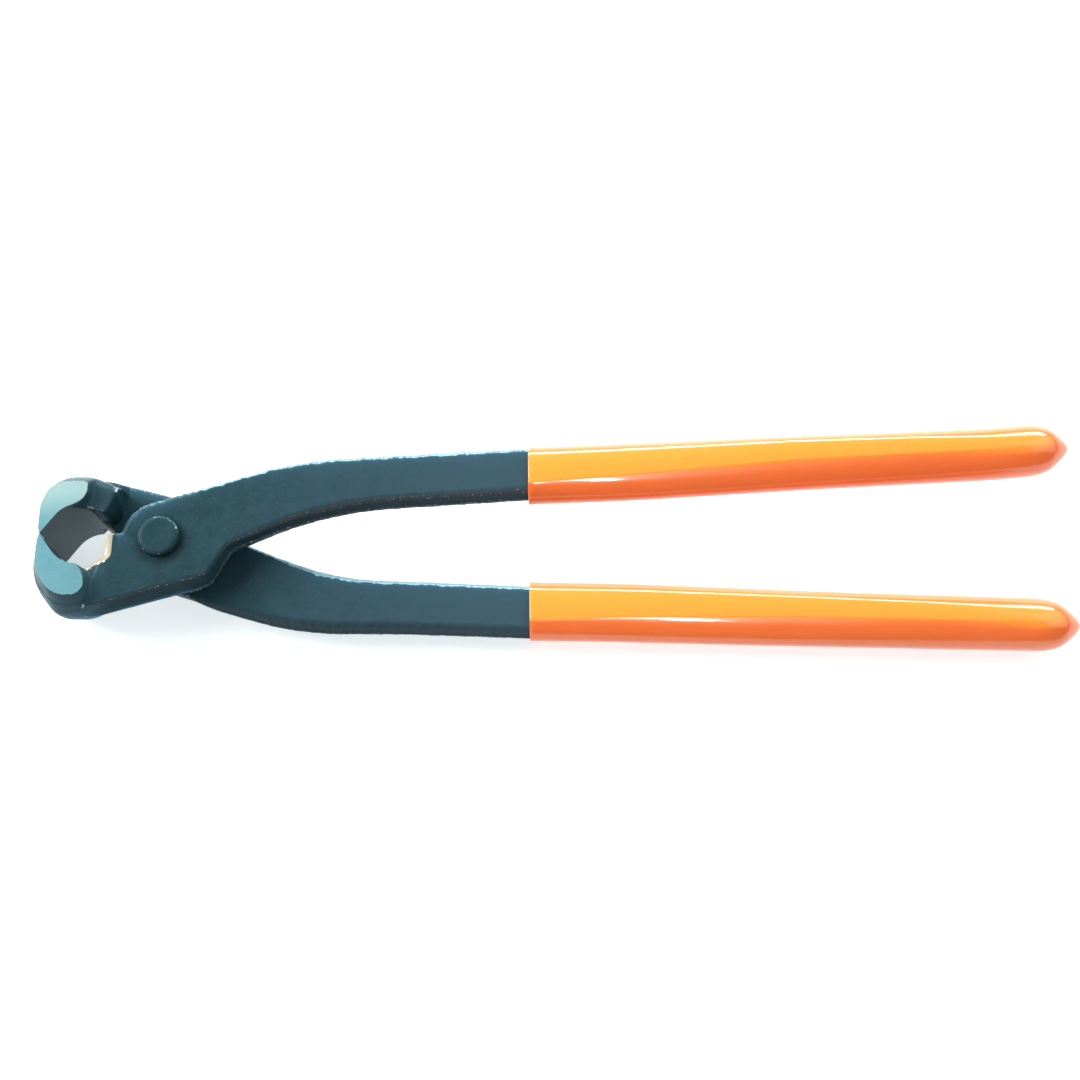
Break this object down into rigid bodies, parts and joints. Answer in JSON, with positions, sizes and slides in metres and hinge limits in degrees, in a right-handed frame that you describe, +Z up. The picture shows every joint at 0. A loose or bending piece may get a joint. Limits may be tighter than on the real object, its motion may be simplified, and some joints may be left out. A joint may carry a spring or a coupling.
{
  "type": "tower pincers",
  "caption": "End-cutting tower pincers: crossed forged levers lapped on a rivet, broad jaws with straight cutting edges closing around an eye, dipped plastic grips.",
  "frame": {"origin": "middle of the closed tool's outline, in the plane of the jaw flats it rests on", "axes": "+X from the jaws to the handle ends, +Z up from the resting face along the pivot axis, +Y towards the handle of the lever on top"},
  "size_m": [0.25, 0.0544, 0.022],
  "materials": {
    "rear_lever_steel": "satin dark oxide over forged steel, jaw sides ground bare",
    "front_lever_steel": "satin dark oxide over forged steel, jaw sides ground bare",
    "rivet_steel": "satin dark oxide",
    "lower_grip_vinyl": "glossy dipped vinyl",
    "upper_grip_vinyl": "glossy dipped vinyl"
  },
  "bodies": {
    "rear_half": {"rear_lever": "rear_lever_steel", "pivot_rivet": "rivet_steel", "lower_grip": "lower_grip_vinyl"},
    "front_half": {"front_lever": "front_lever_steel", "upper_grip": "upper_grip_vinyl"}
  },
  "joints": [
    {"name": "jaw_pivot", "type": "hinge", "parent": "rear_half", "child": "front_half", "pos_m": [-0.095, 0, 0.011], "axis": [0, 0, 1], "range_deg": [0, 45]}
  ]
}
